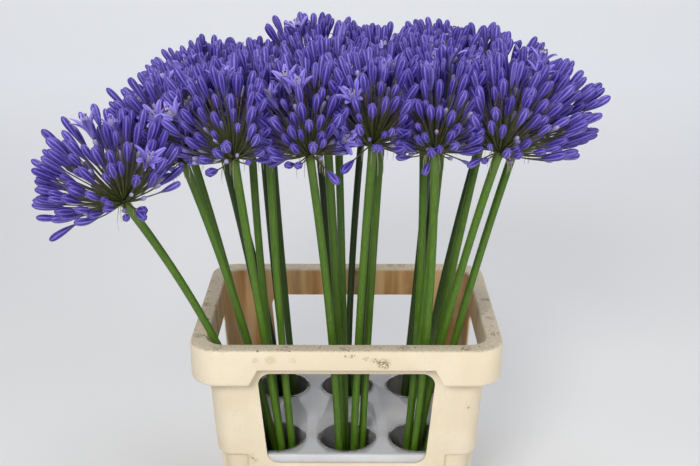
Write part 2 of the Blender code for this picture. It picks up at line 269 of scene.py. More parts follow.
# %% Crate outlines
WALL = 0.003
FLOOR = 0.004
WALL_INSET = 0.0195
WALL_SLOPE = 0.0589
RIM_WIDTH = 0.0225
RIM_THICKNESS = 0.0035
SKIRT_DEPTH = 0.055
SKIRT_MIDDLE = 0.0285
CORNER_RADIUS = 0.040
CORNER_SHRINK = 0.55
CORNER_STEPS = 14
FOOT_ROUND = 0.004
STEP_ROUND = 0.005
STEP_LIFT = 0.0005
SKIRT_ROUND = 0.006
RIM_ROUND = 0.0035
LIP_ROUND = 0.0025
RECESS = 0.009
RECESS_FOOT = 0.160
RECESS_SIDE = 0.0765
RECESS_SLANT = 0.004
HALF_X = CRATE_HIGH.x
HALF_Y = CRATE_HIGH.y


def crate_outline(inset, z, recess=0.0, step_in=0.0):
    """Rounded rectangle at one height, set back by recess at its corners."""
    half_x, half_y = HALF_X - inset, HALF_Y - inset
    side_x = HALF_X - RECESS_SIDE - step_in
    side_y = HALF_Y - RECESS_SIDE - step_in
    radius = CORNER_RADIUS - CORNER_SHRINK * (inset + recess)
    turns = np.linspace(0, math.pi / 2, CORNER_STEPS + 1)
    corner = [(half_x, side_y), (half_x - recess, side_y + RECESS_SLANT)]
    corner += [
        (half_x - recess - radius + radius * math.cos(turn),
         half_y - recess - radius + radius * math.sin(turn))
        for turn in turns
    ]
    corner += [(side_x + RECESS_SLANT, half_y - recess), (side_x, half_y)]
    back = corner[::-1]
    around = corner + [(-x, y) for x, y in back]
    around += [(-x, -y) for x, y in corner] + [(x, -y) for x, y in back]
    return [(x, y, z) for x, y in around]


def outer_inset(z):
    return WALL_INSET + (RIM_TOP - RIM_THICKNESS - z) * WALL_SLOPE


def inner_inset(z):
    return outer_inset(z) + WALL


def rounding(steps=4):
    """Shares of a quarter turn, as (sine, cosine) pairs."""
    return [(math.sin(t), math.cos(t)) for t in np.linspace(0, math.pi / 2, steps + 1)]


def crate_outlines():
    skirt_foot = RIM_TOP - SKIRT_DEPTH
    under = RIM_TOP - RIM_THICKNESS
    rings = []
    for sine, cosine in rounding():
        z = FOOT_ROUND * (1 - cosine)
        rings.append(crate_outline(outer_inset(z) + FOOT_ROUND * (1 - sine), z, RECESS))
    rings.append(crate_outline(outer_inset(RECESS_FOOT), RECESS_FOOT, RECESS))
    for sine, cosine in rounding():
        z = RECESS_FOOT + STEP_ROUND * (1 - cosine) + STEP_LIFT
        rings.append(crate_outline(outer_inset(z), z, STEP_ROUND * (1 - sine)))
    rings.append(crate_outline(outer_inset(under - WALL), under - WALL))
    rings.append(crate_outline(outer_inset(under) - WALL, under))
    rings.append(crate_outline(WALL, under))
    rings.append(crate_outline(WALL, skirt_foot + SKIRT_ROUND))
    rings.append(crate_outline(SKIRT_ROUND, skirt_foot))
    for sine, cosine in rounding()[1:]:
        rings.append(crate_outline(SKIRT_ROUND * (1 - sine), skirt_foot + SKIRT_ROUND * (1 - cosine)))
    for sine, cosine in rounding():
        rings.append(crate_outline(RIM_ROUND * (1 - cosine), RIM_TOP - RIM_ROUND * (1 - sine)))
    for sine, cosine in rounding():
        rings.append(crate_outline(RIM_WIDTH - LIP_ROUND * (1 - sine), RIM_TOP - LIP_ROUND * (1 - cosine)))
    ledge = RECESS_FOOT + STEP_ROUND + WALL
    rings.append(crate_outline(inner_inset(ledge), ledge, 0.0, WALL))
    rings.append(crate_outline(inner_inset(ledge - WALL), ledge - WALL, RECESS, WALL))
    for sine, cosine in rounding(3):
        z = FLOOR + FOOT_ROUND * (1 - sine)
        rings.append(crate_outline(inner_inset(z) + FOOT_ROUND * (1 - cosine), z, RECESS, WALL))
    return rings


def skin(rings):
    """Join equal outlines into one closed bmesh."""
    shell = bmesh.new()
    made = [[shell.verts.new(point) for point in ring] for ring in rings]
    for low, high in zip(made, made[1:]):
        for here in range(len(low)):
            after = (here + 1) % len(low)
            shell.faces.new((low[here], low[after], high[after], high[here]))
    shell.faces.new(made[0][::-1])
    shell.faces.new(made[-1])
    bmesh.ops.recalc_face_normals(shell, faces=shell.faces)
    return shell


print("crate outlines:", len(crate_outlines()), "of", len(crate_outline(0, 0)), "points")

# %% [markdown]
# ## Windows and the stepped skirt
#
# Each wall has a window with round corners, which saves plastic and lets a
# hand in, and the skirt is shallow between the corners. Both are shapes taken
# away from a finished wall, so both are cut with Boolean modifiers. A mould
# never leaves a sharp edge, so a Bevel modifier then rounds every edge that
# the cuts have made. The surfaces that were drawn round already lie under its
# angle limit and stay as they are.

# %% Crate cuts
WINDOW_TOP = 0.295
WINDOW_FOOT = 0.147
WINDOW_TOP_MARGIN = 0.093
WINDOW_FOOT_MARGIN = 0.102
WINDOW_RADIUS = 0.018
NOTCH_TOP_MARGIN = 0.0945
NOTCH_FOOT_MARGIN = 0.0805
EDGE_ROUND = 0.0011
SHARP_ABOVE = math.radians(40)


def to_object(shell, name):
    mesh = bpy.data.meshes.new(name)
    shell.to_mesh(mesh)
    shell.free()
    piece = bpy.data.objects.new(name, mesh)
    bpy.context.scene.collection.objects.link(piece)
    return piece


def push_outline(outline, low, high, along_x):
    ends = []
    for depth in (low, high):
        ends.append([(depth, s, z) if along_x else (s, depth, z) for s, z in outline])
    return to_object(skin(ends), "cutter")


def round_corner(middle, radius, start):
    turns = [math.radians(start + 90 * step / CORNER_STEPS) for step in range(CORNER_STEPS + 1)]
    return [(middle[0] + radius * math.cos(t), middle[1] + radius * math.sin(t)) for t in turns]


def window_outline(rim_half):
    top = rim_half - WINDOW_TOP_MARGIN - WINDOW_RADIUS
    foot = rim_half - WINDOW_FOOT_MARGIN - WINDOW_RADIUS
    high, low = WINDOW_TOP - WINDOW_RADIUS, WINDOW_FOOT + WINDOW_RADIUS
    outline = []
    for number, middle in enumerate(((top, high), (-top, high), (-foot, low), (foot, low))):
        outline += round_corner(middle, WINDOW_RADIUS, 90 * number)
    return outline


def notch_outline(rim_half):
    top, foot = rim_half - NOTCH_TOP_MARGIN, rim_half - NOTCH_FOOT_MARGIN
    high, low = RIM_TOP - SKIRT_MIDDLE, RIM_TOP - SKIRT_DEPTH
    lowest = foot + WALL * (foot - top) / (high - low)
    return [(top, high), (-top, high), (-lowest, low - WALL), (lowest, low - WALL)]


def apply_modifiers(piece):
    graph = bpy.context.evaluated_depsgraph_get()
    graph.update()
    result = bpy.data.meshes.new_from_object(piece.evaluated_get(graph))
    piece.modifiers.clear()
    piece.data = result


def cut_away(piece, cutters):
    for cutter in cutters:
        modifier = piece.modifiers.new("cut", "BOOLEAN")
        modifier.operation = "DIFFERENCE"
        modifier.object = cutter
    apply_modifiers(piece)
    for cutter in cutters:
        bpy.data.objects.remove(cutter, do_unlink=True)


def round_edges(piece, width, segments=3):
    bevel = piece.modifiers.new("edges", "BEVEL")
    bevel.width = width
    bevel.segments = segments
    bevel.limit_method = "ANGLE"
    bevel.angle_limit = SHARP_ABOVE
    bevel.miter_outer = "MITER_ARC"
    apply_modifiers(piece)
    piece.data.shade_smooth()
    piece.data.set_sharp_from_angle(angle=SHARP_ABOVE)


def build_crate():
    crate = to_object(skin(crate_outlines()), "crate_shell")
    cutters = []
    for rim_half, wall_half, along_x in ((HALF_X, HALF_Y, False), (HALF_Y, HALF_X, True)):
        reach = wall_half + WALL
        cutters.append(push_outline(window_outline(rim_half), -reach, reach, along_x))
        for side in (-1, 1):
            ends = sorted((side * (wall_half - WALL_INSET + WALL * 2), side * reach))
            cutters.append(push_outline(notch_outline(rim_half), *ends, along_x))
    cut_away(crate, cutters)
    round_edges(crate, EDGE_ROUND)
    return crate


crate_shell = build_crate()
print("crate triangles:", count_triangles(crate_shell))

# %% [markdown]
# ## Cream plastic that has travelled
#
# The plastic is cream, satin, and far from new. The rim's top is rough and
# speckled where crates are stacked, and the front rail carries a brown smudge, a
# few pale stains and many fine specks. The inside is painted tan in streaks,
# strongest on the back wall: painted shade where the canopy keeps the light out.
# A flat colour would look like a toy. Each mark is a mask, made from noise and
# from the distance to a place or a face, and the masks mix the colours in turn.

# %% Crate finish
CREAM = (0.745, 0.640, 0.465)
CREAM_PALE = (0.785, 0.690, 0.520)
CREAM_DULL = (0.62, 0.52, 0.37)
SHADE_TAN = (0.66, 0.41, 0.18)
SHADE_TAN_DARK = (0.42, 0.20, 0.045)
GRIME = (0.16, 0.10, 0.05)
RUST = (0.20, 0.035, 0.012)
OLIVE_STAIN = (0.55, 0.49, 0.26)
# Each mark of the front: its middle and half size across and up, the noise it needs, its tint.
FRONT_MARKS = (
    ((0.051, 0.3215), (0.0110, 0.0100), 0.47, GRIME),
    ((0.042, 0.3265), (0.0120, 0.0050), 0.50, GRIME),
    ((0.027, 0.3290), (0.0060, 0.0035), 0.47, GRIME),
    ((0.005, 0.3330), (0.0110, 0.0035), 0.50, GRIME),
    ((-0.1330, 0.1560), (0.0075, 0.0110), 0.52, GRIME),
    ((0.1705, 0.2450), (0.0060, 0.0110), 0.57, GRIME),
    ((0.1670, 0.1900), (0.0050, 0.0070), 0.59, GRIME),
    ((-0.1022, 0.3270), (0.0100, 0.0080), 0.38, OLIVE_STAIN),
    ((-0.1223, 0.3260), (0.0065, 0.0060), 0.45, OLIVE_STAIN),
    ((-0.0729, 0.3255), (0.0080, 0.0060), 0.45, OLIVE_STAIN),
)
RIM_MARK_SIZE = (0.0095, 0.0095)
RIM_MARKS = (
    (-0.208, -0.005), (-0.207, -0.061), (-0.206, -0.112), (0.207, 0.013), (0.207, -0.051),
    (0.206, -0.105), (-0.173, -0.151), (-0.083, -0.153), (-0.002, -0.151), (0.079, -0.151),
    (0.162, -0.151), (0.087, 0.153), (0.070, 0.153), (-0.150, 0.153),
)


def box_distance(finish, x, y, z):
    """Below 0 inside the middle of the wall's thickness, above 0 outside."""
    inset = WALL_INSET + WALL / 2 + (RIM_TOP - RIM_THICKNESS - z) * WALL_SLOPE
    radius = CORNER_RADIUS - CORNER_SHRINK * inset
    first = x.size() - HALF_X + inset + radius
    second = y.size() - HALF_Y + inset + radius
    round_x, round_y = first.at_least(0.0), second.at_least(0.0)
    corner = (round_x * round_x + round_y * round_y) ** 0.5
    flat = first.at_least(second).at_most(0.0)
    set_back = finish.step(z, RECESS_FOOT + 0.008, RECESS_FOOT - 0.001) * (RECESS + WALL)
    return corner + flat - radius + set_back


def spot(finish, x, z, middle, size):
    """1 at a place on one face, 0 beyond its size."""
    across = (x - middle[0]) / size[0]
    up = (z - middle[1]) / size[1]
    return finish.step(across * across + up * up, 1.0, 0.15)


def crate_plastic():
    finish = Finish("cream_plastic", Specular_IOR_Level=0.42)
    place = finish.place()
    x, y, z = finish.parts(place)
    broad = finish.noise(place, 16, detail=3)
    fine = finish.noise(place, 260, detail=3, roughness=0.65)
    grain = finish.noise(place, 900, detail=2)
    colour = finish.mix(finish.step(broad, 0.35, 0.68), CREAM, CREAM_PALE)
    colour = finish.stain(colour, fine, 0.56, 0.72, 0.35, CREAM_DULL)
    speckle = finish.noise(place, 620, detail=1)
    specks = finish.step(speckle, 0.70, 0.78) * finish.step(broad, 0.45, 0.6)
    colour = finish.mix(specks * 0.7, colour, GRIME)

    # Painted shade: the inside of the crate, under the canopy, is painted tan in streaks, strongest on the
    # back wall.
    depth = box_distance(finish, x, y, z)
    inside = finish.step(depth, 0.0006, -0.0004) * finish.step(z, RIM_TOP - 0.001, RIM_TOP - 0.006)
    streaks = finish.noise(finish.scaled(place, (46.0, 46.0, 2.5)), 1.0, detail=3)
    inside_shade_colour = finish.mix(finish.step(streaks, 0.38, 0.62), SHADE_TAN_DARK, SHADE_TAN)
    inside_shade_colour = finish.stain(inside_shade_colour, finish.noise(place, 22), 0.50, 0.72, 0.5, CREAM_DULL)
    shade_towards_back = finish.step(y, -0.10, 0.10) * 0.55 + 0.38
    colour = finish.mix(inside * shade_towards_back, colour, inside_shade_colour)

    top = finish.step(z, RIM_TOP - 0.0022, RIM_TOP - 0.0004)
    rough_top = finish.step(finish.noise(place, 420, detail=4, roughness=0.7), 0.47, 0.62)
    colour = finish.mix(top * rough_top * 0.55, colour, finish.mix(broad, GRIME, CREAM_DULL))
    ticks = finish.step(finish.noise(finish.scaled(place, (130.0, 130.0, 60.0)), 1.0, detail=2), 0.66, 0.72)
    colour = finish.mix(top * ticks * 0.8, colour, RUST)

    ragged = finish.noise(place, 190, detail=4, roughness=0.75, distortion=1.2)
    front = finish.step(y, -HALF_Y + 0.045, -HALF_Y + 0.040)
    for middle, size, low, tint in FRONT_MARKS:
        blot = spot(finish, x, z, middle, size) * front
        strength = 0.85 if tint is GRIME else 0.55
        colour = finish.mix(blot * finish.step(ragged, low, low + 0.06) * strength, colour, tint)

    for middle in RIM_MARKS:
        near = spot(finish, x, y, middle, RIM_MARK_SIZE)
        curl = finish.step(ragged, 0.50, 0.53) * finish.step(ragged, 0.60, 0.57)
        colour = finish.mix(near * curl * top * 0.8, colour, RUST if middle[1] > 0.1 else GRIME)

    roughness = 0.44 + 0.16 * fine + 0.15 * top
    height = grain * 0.25 + fine * 0.5 + top * rough_top * 1.5
    return finish.use(
        Base_Color=colour, Roughness=roughness, Normal=finish.bump(height, 0.25, 0.0006)
    )


crate_shell.data.materials.clear()
crate_shell.data.materials.append(crate_plastic())
settle(crate_shell, "crate")
print("crate finished")

# %% [markdown]
# ## The tray and its sleeves
#
# A grey glossy sheet lies across the crate, wedged in the taper of its walls.
# It has six round holes, and in each hole hangs a clear sleeve with a thin
# rolled lip. The sheet follows the inside of the crate, so it reuses the
# crate's outline, a hair smaller. The sleeves are turned: one profile of a
# wall, spun round the sleeve's own axis.

# %% Tray and sleeves
TRAY_LOW, TRAY_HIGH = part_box("tray")
SLEEVE_RADIUS = 0.040
SLEEVE_WALL = 0.0015
COLUMN_PITCH = 0.103
ROW_PITCH = 0.160
PLATE_TOP = 0.160
LIP_FOOT = 0.146
GAP = 0.0003
ROUND_STEPS = 72
CUTTER_DEPTH = 0.03
PLATE_ROUND = 0.002
PLATE_SHOULDER = 0.0006
PLATE_EDGE = 0.0004
SLEEVE_EDGE = 0.0004
SLEEVE_CLEARANCE = 0.0001
SLEEVE_LIP = 0.0016
LIP_LIFT = 0.0002
SLEEVE_MIDDLES = [
    ((column - 1) * COLUMN_PITCH, (row - 0.5) * ROW_PITCH)
    for row in range(2) for column in range(3)
]


def turned(profile, middle):
    """Spin a closed (radius, z) profile round an upright axis."""
    profile = np.array(profile)
    turns = np.linspace(0, math.tau, ROUND_STEPS, endpoint=False)
    points, faces = [], []
    for turn in turns:
        for radius, z in profile:
            points.append((middle[0] + radius * math.cos(turn), middle[1] + radius * math.sin(turn), z))
    count = len(profile)
    for step in range(ROUND_STEPS):
        for here in range(count):
            after, beyond = (here + 1) % count, (step + 1) % ROUND_STEPS
            faces.append((step * count + here, beyond * count + here,
                          beyond * count + after, step * count + after))
    return points, faces


def tray_outline(z, inward):
    return crate_outline(inner_inset(z) + GAP + inward, z, RECESS, WALL + GAP)


def build_plate():
    shell = skin([
        tray_outline(PLATE_TOP - SLEEVE_WALL, SLEEVE_WALL),
        tray_outline(LIP_FOOT, SLEEVE_WALL),
        tray_outline(LIP_FOOT, 0.0),
        tray_outline(PLATE_TOP - PLATE_ROUND, 0.0),
        tray_outline(PLATE_TOP - PLATE_SHOULDER, PLATE_SHOULDER),
        tray_outline(PLATE_TOP, PLATE_ROUND),
    ])
    plate = to_object(shell, "tray_plate")
    cutters = []
    for x, y in SLEEVE_MIDDLES:
        bar = bmesh.new()
        bmesh.ops.create_cone(
            bar, cap_ends=True, segments=ROUND_STEPS, radius1=SLEEVE_RADIUS + SLEEVE_WALL,
            radius2=SLEEVE_RADIUS + SLEEVE_WALL, depth=CUTTER_DEPTH,
            matrix=Matrix.Translation((x, y, PLATE_TOP)),
        )
        cutters.append(to_object(bar, "cutter"))
    cut_away(plate, cutters)
    round_edges(plate, PLATE_EDGE, segments=2)
    return plate


def sleeve_profile():
    low, top = TRAY_LOW.z, TRAY_HIGH.z
    inner, outer = SLEEVE_RADIUS, SLEEVE_RADIUS + SLEEVE_WALL - SLEEVE_CLEARANCE
    lip, lip_foot = outer + SLEEVE_LIP, PLATE_TOP + LIP_LIFT
    return [
        (inner, low + SLEEVE_EDGE), (inner + SLEEVE_EDGE, low),
        (outer - SLEEVE_EDGE, low), (outer, low + SLEEVE_EDGE),
        (outer, lip_foot), (lip, lip_foot), (lip + 0.0003, PLATE_TOP + 0.0008),
        (lip - 0.0002, top - 0.0006), (outer, top), (inner + 0.0006, top), (inner, top - 0.0006),
    ]


tray_plate = build_plate()
print("tray triangles:", count_triangles(tray_plate), "sleeves:", len(SLEEVE_MIDDLES))

# %% [markdown]
# ## Grey sheet, clear sleeves and water
#
# The sheet is glossy: it mirrors the stems softly, so its roughness is low and
# only faint scuffs break it. The sleeves are clear plastic and the water is
# water, so both use transmission with their own index of refraction, which is
# the same all over and is set on the shader's own sockets.

# %% Tray and water finishes
def grey_sheet():
    finish = Finish("grey_sheet", Specular_IOR_Level=0.6, Coat_Weight=0.5, Coat_Roughness=0.06)
    place = finish.place()
    cloudy = finish.noise(place, 9, detail=3)
    scuffs = finish.noise(finish.scaled(place, (12.0, 160.0, 12.0)), 1.0, detail=4, roughness=0.7)
    colour = finish.mix(finish.step(cloudy, 0.3, 0.7), (0.56, 0.565, 0.58), (0.66, 0.665, 0.68))
    colour = finish.stain(colour, scuffs, 0.62, 0.75, 0.4, (0.76, 0.76, 0.77))
    dust = finish.step(finish.noise(place, 700, detail=2), 0.66, 0.74)
    colour = finish.mix(dust * 0.5, colour, (0.25, 0.20, 0.14))
    return finish.use(
        Base_Color=colour, Roughness=0.07 + 0.12 * scuffs,
        Normal=finish.bump(cloudy, 0.15, 0.002),
    )


def clear_plastic():
    finish = Finish("clear_plastic", IOR=1.49, Transmission_Weight=0.85, Roughness=0.08)
    place = finish.place()
    smears = finish.noise(finish.scaled(place, (60.0, 60.0, 8.0)), 1.0, detail=3)
    tint = finish.mix(finish.step(smears, 0.4, 0.7), (0.86, 0.87, 0.88), (0.62, 0.60, 0.60))
    return finish.use(Base_Color=tint, Roughness=0.05 + 0.14 * smears)


def still_water():
    finish = Finish("still_water", IOR=1.333, Transmission_Weight=0.9)
    place = finish.place()
    ripple = finish.noise(place, 45, detail=2)
    cloudy = finish.step(finish.noise(place, 12), 0.3, 0.7)
    tint = finish.mix(cloudy, (0.55, 0.60, 0.50), (0.70, 0.74, 0.66))
    return finish.use(
        Base_Color=tint, Roughness=0.02 + 0.03 * ripple, Normal=finish.bump(ripple, 0.1, 0.002)
    )


tray_plate.data.materials.clear()
tray_plate.data.materials.append(grey_sheet())
settle(tray_plate, "tray")
clear = clear_plastic()
for number, middle in enumerate(SLEEVE_MIDDLES, 1):
    sleeve = mesh_object(f"sleeve_{number}", *turned(sleeve_profile(), middle), clear)
    sleeve.data.set_sharp_from_angle(angle=math.radians(50))
    settle(sleeve, "tray")
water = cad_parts["water"]
water.data.materials.clear()
water.data.materials.append(still_water())
print("tray, sleeves and water finished")

# %% [markdown]
# ## Where each stem stands
#
# A scape's solid is a six-sided bar made of rings, so its path can be read back
# from the frame. The mean of each ring is a point of the path, and the flat end
# of the last ring gives the direction in which the head opens. A polynomial
# through those points gives the same bend as the solid, but smooth.

# %% Stem paths
RING_POINTS = 6
PATH_DEGREE = 4
SEAT_LIFT = 0.0003


def unit(vector):
    return vector / np.linalg.norm(vector)


def node_points(name):
    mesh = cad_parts[name].data
    flat = np.empty(len(mesh.vertices) * 3)
    mesh.vertices.foreach_get("co", flat)
    return np.unique(flat.reshape(-1, 3).round(6), axis=0)


class Stem:
    """One scape's path, radius and the seat of its head."""

    def __init__(self, name):
        points = node_points(f"scape_{name}")
        rings = points[np.argsort(points[:, 2])].reshape(-1, RING_POINTS, 3)
        middles = rings.mean(axis=1)
        heights = middles[:, 2]
        self.name = name
        self.foot, self.top = heights[0], heights[-1]
        self.bends = [np.polyfit(heights, middles[:, side], PATH_DEGREE) for side in (0, 1)]
        spokes = np.linalg.norm(rings - middles[:, None], axis=2).mean(axis=1)
        self.radii = np.polyfit(heights, spokes, 2)
        spread = rings[-1] - middles[-1]
        normal = np.linalg.svd(spread)[2][-1]
        self.axis = unit(normal * np.sign(normal[2]))
        self.seat = middles[-1] + self.axis * SEAT_LIFT
        self.up = unit(self.axis * (1.0, 0.35, 1.0) + (0.0, 0.0, 0.25))

    def path(self, heights):
        return np.stack([np.polyval(bend, heights) for bend in self.bends] + [heights], axis=-1)


STEMS = [Stem(name) for name in STEM_NAMES]
print("seats:", [tuple(float(v) for v in stem.seat.round(3)) for stem in STEMS[:3]], "and more")

# %% [markdown]
# ## Sweeping a tube
#
# Scapes, pedicels and buds are all tubes with a changing radius. One function
# sweeps rings along a path. Each ring needs two directions across the path, and
# these are carried on from ring to ring, because a fresh cross product would
# flip where the path turns upright and would twist the tube.

# %% Tubes
class Parts:
    """Collects points, faces and point values of many small forms."""

    def __init__(self, *value_names):
        self.points, self.faces, self.count = [], [], 0
        self.values = {name: [] for name in value_names}

    def add(self, points, faces, **values):
        self.points.append(points)
        self.faces += [tuple(corner + self.count for corner in face) for face in faces]
        self.count += len(points)
        for name, kept in self.values.items():
            kept.append(np.broadcast_to(values.get(name, 0.0), len(points)))

    def make(self, name, material):
        values = {key: np.concatenate(kept) for key, kept in self.values.items()}
        return mesh_object(name, np.concatenate(self.points), self.faces, material, values)


def carried_frames(path):
    """Two directions across the path at every point, without twist."""
    along = np.gradient(path, axis=0)
    along /= np.linalg.norm(along, axis=1)[:, None]
    start = np.array((0.0, 1.0, 0.0)) if abs(along[0][1]) < 0.9 else np.array((1.0, 0.0, 0.0))
    first = [unit(start - along[0] * (start @ along[0]))]
    for direction in along[1:]:
        first.append(unit(first[-1] - direction * (first[-1] @ direction)))
    first = np.array(first)
    return first, np.cross(along, first)


FACES_OF = {}


def tube_faces(rings, sides):
    if (rings, sides) not in FACES_OF:
        faces = []
        for ring in range(rings - 1):
            for side in range(sides):
                after = (side + 1) % sides
                low, high = ring * sides, (ring + 1) * sides
                faces.append((low + side, low + after, high + after, high + side))
        faces.append(tuple(range(sides))[::-1])
        faces.append(tuple(range((rings - 1) * sides, rings * sides)))
        FACES_OF[rings, sides] = faces
    return FACES_OF[rings, sides]


def tube(path, radii, sides, ribs=0, rib_depth=0.0, turn=0.0):
    """Points of a tube, how far along each is, and its place on a rib."""
    first, second = carried_frames(path)
    angles = np.arange(sides) * math.tau / sides
    ribbing = np.cos(ribs * angles) if ribs else np.zeros(sides)
    reach = np.asarray(radii)[:, None] * (1 + rib_depth * ribbing[None, :])
    across = first[:, None] * np.cos(angles + turn)[None, :, None]
    across = across + second[:, None] * np.sin(angles + turn)[None, :, None]
    points = path[:, None] + across * reach[:, :, None]
    along = np.repeat(np.linspace(0, 1, len(path)), sides)
    return points.reshape(-1, 3), along, np.tile(ribbing, len(path))


print("tube of 5 rings and 6 sides:", len(tube_faces(5, 6)), "faces")

# %% [markdown]
# ## Scapes
#
# The scape of agapanthus is leafless, solid and smooth, with faint ridges. It
# is thick at the foot, thins towards the middle and flares a little below the
# head. The stems at the back of the crate look almost black-green in the
# photograph, because the canopy shades them, so every stem carries a shade
# value as well.

# %% Scapes
SCAPE_SIDES = 20
SCAPE_RINGS = 44
SCAPE_SHARE = 0.98
UNDER_WATER_SHARE = 0.93
WATER_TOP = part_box("water")[1].z + 0.002
SCAPE_RIBS = 5
SCAPE_RIB_DEPTH = 0.022
SHADE_HEIGHT = 0.2
LIT_FRONT = -0.05
DARK_BACK = 0.11


def scape_skin():
    finish = Finish("scape_skin", Subsurface_Weight=0.03, Specular_IOR_Level=0.4)
    finish.shader.inputs["Subsurface Radius"].default_value = (0.004, 0.006, 0.001)
    place = finish.place()
    along, shade = finish.mesh_value("along"), finish.mesh_value("shade")
    streaks = finish.noise(finish.scaled(place, (900.0, 900.0, 14.0)), 1.0, detail=2)
    patches = finish.noise(place, 30, detail=2)
    colour = finish.mix(finish.step(streaks, 0.3, 0.7), (0.048, 0.118, 0.005), (0.082, 0.172, 0.009))
    colour = finish.stain(colour, patches, 0.45, 0.75, 0.35, (0.10, 0.20, 0.014))
    colour = finish.stain(colour, along, 0.90, 1.0, 0.45, (0.16, 0.24, 0.05))
    colour = finish.stain(colour, along, 0.25, 0.0, 0.5, (0.15, 0.25, 0.06))
    colour = finish.mix(shade * 0.92, colour, (0.008, 0.020, 0.003))
    return finish.use(
        Base_Color=colour, Roughness=0.36 + 0.18 * patches,
        Normal=finish.bump(streaks, 0.25, 0.0004),
    )


def scape_radii(stem, heights):
    share = (heights - stem.foot) / (stem.top - stem.foot)
    above_water = np.clip((heights - WATER_TOP) / 0.03, 0, 1)
    fullness = UNDER_WATER_SHARE + (SCAPE_SHARE - UNDER_WATER_SHARE) * above_water
    flare = 1 + 0.12 * np.clip((share - 0.965) / 0.035, 0, 1) ** 2
    return np.polyval(stem.radii, heights) * fullness * flare


def build_scape(stem, skin_material, chance):
    heights = np.linspace(stem.foot, stem.top, SCAPE_RINGS)
    turn = chance.uniform(0, math.tau)
    points, along = tube(
        stem.path(heights), scape_radii(stem, heights), SCAPE_SIDES, SCAPE_RIBS, SCAPE_RIB_DEPTH, turn
    )[:2]
    depth = np.clip((stem.path(SHADE_HEIGHT)[1] - LIT_FRONT) / (DARK_BACK - LIT_FRONT), 0, 1)
    shade = np.clip(depth * 0.9 + chance.uniform(-0.05, 0.12), 0, 1)
    parts = Parts("along", "shade")
    parts.add(points, tube_faces(SCAPE_RINGS, SCAPE_SIDES), along=along, shade=shade)
    return parts.make(f"scape_{stem.name}_stalk", skin_material)


chance = np.random.default_rng(7)
green = scape_skin()
scape_total = 0
for stem in STEMS:
    stalk = build_scape(stem, green, chance)
    settle(stalk, f"scape_{stem.name}")
    scape_total += count_triangles(stalk)
print("scapes:", len(STEMS), "triangles:", scape_total)

# %% [markdown]
# ## The shape of a head
#
# An umbel is a ball of florets that all start at one point. Directions spread
# evenly over a ball follow a golden-angle spiral. In the full crate the heads
# press on each other, so a floret stops growing where the next head begins.
# The border between two heads is the plane halfway between them. What is left
# free at the outside of the crate makes the loose, ragged edge of the canopy.

# %% Head layout
FULL_REACH = 0.118
SIDE_REACH = 0.80
REACH_JITTER = 0.009
BORDER_OVERLAP = 0.010
SHORTEST_SHARE = 0.50
DIRECTIONS = 165
LOWEST_TILT = 1.62
DROOP_BELOW = 0.12
DROOP_SHARE = 0.16
GOLDEN_ANGLE = math.pi * (3 - math.sqrt(5))


def head_middle(stem):
    return stem.seat + stem.up * FULL_REACH * 0.5


def borders(stem):
    """Planes between this head and its neighbours, as (point, outward) pairs."""
    own = head_middle(stem)
    found = []
    for other in STEMS:
        away = head_middle(other) - own
        if 0 < np.linalg.norm(away) < 2 * FULL_REACH:
            found.append((own + away * 0.5, unit(away)))
    return found


def head_directions(stem, chance):
    """Evenly spread unit vectors, from straight out to a little below level."""
    side = unit(np.cross(stem.up, (0.31, 0.95, 0.02)))
    other = np.cross(stem.up, side)
    numbers = np.arange(DIRECTIONS) + 0.5
    upward = 1 - numbers / DIRECTIONS * (1 - math.cos(LOWEST_TILT))
    upward = np.clip(upward + chance.normal(0, 0.03, DIRECTIONS), -0.4, 1)
    outward = np.sqrt(1 - upward ** 2)
    turns = numbers * GOLDEN_ANGLE + chance.uniform(0, math.tau) + chance.normal(0, 0.09, DIRECTIONS)
    flat = side * np.cos(turns)[:, None] + other * np.sin(turns)[:, None]
    return flat * outward[:, None] + stem.up * upward[:, None]


def bend_up(points, axis, bend):
    """Lift points off a straight ray, more the farther they are sideways."""
    sideways = points - (points @ axis)[:, None] * axis
    return points + axis * bend * (sideways ** 2).sum(axis=1)[:, None]


def floret_path(stem, direction, length, bend, steps):
    shares = np.linspace(0, 1, steps)[:, None]
    return stem.seat + bend_up(direction * length * shares, stem.up, bend)


def free_length(stem, direction, length, bend, planes):
    """The longest reach that stays on this head's side of every border."""
    for share in np.linspace(1.0, SHORTEST_SHARE, 11):
        tip = floret_path(stem, direction, length * share, bend, 2)[-1]
        if all((tip - point) @ outward < BORDER_OVERLAP for point, outward in planes):
            return length * share
    return 0.0


def head_florets(stem, chance):
    planes = borders(stem)
    found = []
    for direction in head_directions(stem, chance):
        lift = max(0.0, direction @ stem.up)
        full = FULL_REACH * (SIDE_REACH + (1 - SIDE_REACH) * lift)
        full += chance.uniform(-REACH_JITTER, REACH_JITTER)
        bend = 2.5 + chance.uniform(-0.9, 0.9)
        if lift < DROOP_BELOW and chance.random() < DROOP_SHARE:
            bend = chance.uniform(-1.5, 0.5)
        length = free_length(stem, direction, full, bend, planes)
        if length > 0:
            found.append((direction, length, bend, full))
    return found


counts = [len(head_florets(stem, np.random.default_rng(number))) for number, stem in enumerate(STEMS)]
print("florets on each head:", counts, "in all:", sum(counts))

# %% [markdown]
# ## Buds, pedicels and flowers
#
# A mature bud is a slim club: a narrow tube at its base, widest three quarters
# of the way up, with a blunt point, and soft ridges where the six tepals fold
# over each other. Buds of one head open in turn, so most are long and dark,
# some are half as long, and a few in the middle are small and greyish. An open
# flower is a funnel of six tepals that turn back at their tips, each with a
# dark line down its middle. A bud that opens is the same six strips, closed up.

